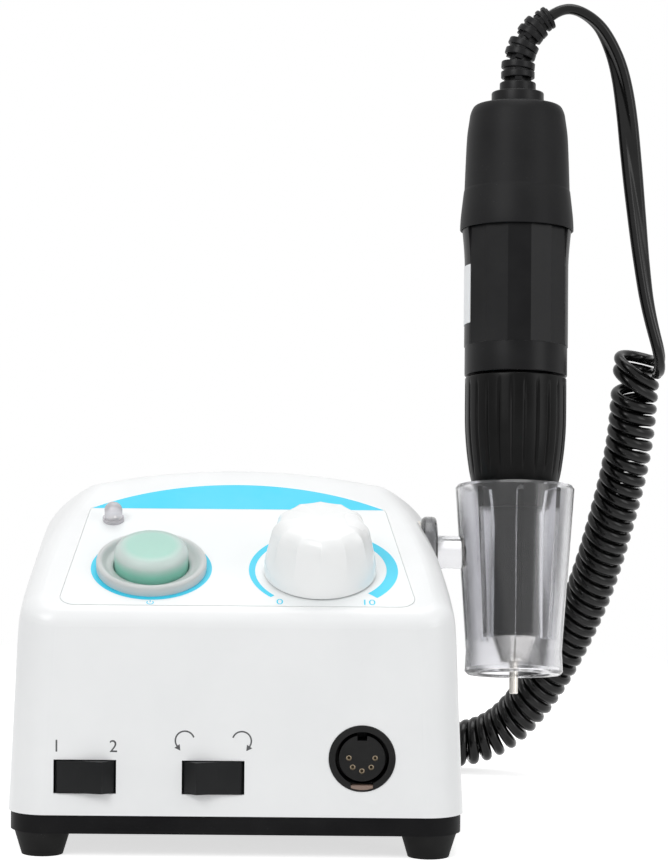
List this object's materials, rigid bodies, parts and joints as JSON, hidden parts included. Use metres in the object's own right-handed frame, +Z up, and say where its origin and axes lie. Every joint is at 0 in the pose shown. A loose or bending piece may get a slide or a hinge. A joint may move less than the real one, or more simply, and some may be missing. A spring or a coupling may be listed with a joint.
{
  "type": "nail drill machine",
  "caption": "Nail drill machine: a control box with speed knob, power button and rocker switches, and a corded handpiece standing in a clear tilting holder at its side.",
  "frame": {"origin": "on the resting plane, under the middle of the control box", "axes": "+Z up, +X to the right as seen from the front, +Y towards the back"},
  "size_m": [0.1798, 0.1662, 0.2245],
  "materials": {
    "white_casing": "satin moulded white",
    "black_casing": "fine moulded black",
    "foot_rubber": "matt rubber",
    "plate": "printed polycarbonate, white with blue stripes",
    "clear_grey": "frosted clear plastic",
    "green_cap": "milky green",
    "lamp_clear": "clear lamp body",
    "knob_white": "satin white",
    "steel": "turned steel",
    "nickel": "nickel plate",
    "brass_contact": "tinned brass",
    "black_gloss": "polished black",
    "latch_brown": "amber brown",
    "board": "green glass fibre board",
    "can_blue": "sleeved can",
    "sink": "anodised",
    "core_iron": "laminated iron",
    "winding": "taped winding",
    "spring_steel": "drawn wire",
    "holder_clear": "clear moulded plastic",
    "handpiece_black": "satin black moulding",
    "cap_rubber": "soft black rubber",
    "label": "blank pale label",
    "magnet": "ferrite ring",
    "carbon": "carbon",
    "cord_black": "glossy black cord sheath"
  },
  "bodies": {
    "control_box": {"upper_shell": "white_casing", "base_tray": "black_casing", "rubber_feet": "foot_rubber", "base_screws": "steel", "control_plate": "plate", "power_bezel": "clear_grey", "power_switch_body": "black_gloss", "button_spring": "spring_steel", "overload_lamp": "lamp_clear", "speed_control": "nickel", "panel_nuts": "nickel", "hand_foot_switch": "black_gloss", "direction_switch": "black_gloss", "switch_blades": "brass_contact", "motor_socket_shell": "black_gloss", "motor_socket_insert": "black_gloss", "motor_socket_contacts": "brass_contact", "socket_latch": "latch_brown", "mains_inlet": "black_gloss", "inlet_pins": "nickel", "machine_screws": "steel", "fuse_holder": "black_gloss", "fuse_cap": "black_gloss", "pedal_jack": "black_gloss", "main_board": "board", "board_screws": "steel", "capacitors": "can_blue", "heat_sink": "sink", "power_transistor": "black_gloss", "transformer_core": "core_iron", "transformer_winding": "winding", "transformer_strap": "steel", "pivot_bush": "nickel", "curly_cord": "cord_black", "cord_tail": "cord_black", "cord_plug": "black_casing", "plug_pins": "nickel"},
    "speed_dial": {"speed_knob": "knob_white", "pot_shaft": "nickel"},
    "power_button": {"power_button_cover": "clear_grey", "power_button_cap": "green_cap"},
    "hand_foot_key": {"hand_foot_rocker": "black_gloss"},
    "direction_key": {"direction_rocker": "black_gloss"},
    "holder": {"holder_cup": "holder_clear", "pivot_clip": "spring_steel"},
    "handpiece": {"handpiece_cap": "cap_rubber", "motor_housing": "handpiece_black", "blank_label": "label", "nose_cone": "black_casing", "bearings": "steel", "motor_magnet": "magnet", "brush_holder": "black_casing", "carbon_brushes": "carbon", "strain_relief": "cap_rubber", "cord_lead": "cord_black"},
    "chuck": {"chuck_sleeve": "handpiece_black"},
    "spindle": {"collet_spindle": "steel", "motor_rotor": "core_iron"},
    "bur": {"bur_shank": "nickel"}
  },
  "joints": [
    {"name": "speed_turn", "type": "hinge", "parent": "control_box", "child": "speed_dial", "pos_m": [0.022, -0.04313, 0.07399], "axis": [0, 0.3987, -0.9171], "range_deg": [0, 280]},
    {"name": "power_press", "type": "slide", "parent": "control_box", "child": "power_button", "axis": [0, 0.3987, -0.9171], "range_m": [0, 0.0025], "stiffness_N_per_m": 600, "springref_m": -0.0008, "deforming": ["button_spring"]},
    {"name": "hand_foot_rock", "type": "hinge", "parent": "control_box", "child": "hand_foot_key", "pos_m": [-0.0398, -0.05964, 0.02173], "axis": [0, 0.0349, 0.9994], "range_deg": [0, 24]},
    {"name": "direction_rock", "type": "hinge", "parent": "control_box", "child": "direction_key", "pos_m": [-0.006, -0.05964, 0.02173], "axis": [0, -0.0349, -0.9994], "range_deg": [0, 24]},
    {"name": "holder_tilt", "type": "hinge", "parent": "control_box", "child": "holder", "pos_m": [0.07625, 0, 0.0739], "axis": [1, 0, -0.0061], "range_deg": [-20, 30], "deforming": ["curly_cord", "cord_lead"]},
    {"name": "handpiece_lift", "type": "slide", "parent": "holder", "child": "handpiece", "axis": [0.006, 0.225, 0.9744], "range_m": [0, 0.065], "deforming": ["curly_cord", "cord_lead"]},
    {"name": "chuck_twist", "type": "hinge", "parent": "handpiece", "child": "chuck", "pos_m": [0.07643, 0.00675, 0.10313], "axis": [0.006, 0.225, 0.9744], "range_deg": [0, 60]},
    {"name": "spindle_spin", "type": "hinge", "parent": "handpiece", "child": "spindle", "pos_m": [0.07631, 0.00225, 0.08364], "axis": [0.006, 0.225, 0.9744], "continuous": true},
    {"name": "bur_pull", "type": "slide", "parent": "spindle", "child": "bur", "axis": [-0.006, -0.225, -0.9744], "range_m": [0, 0.022]}
  ]
}
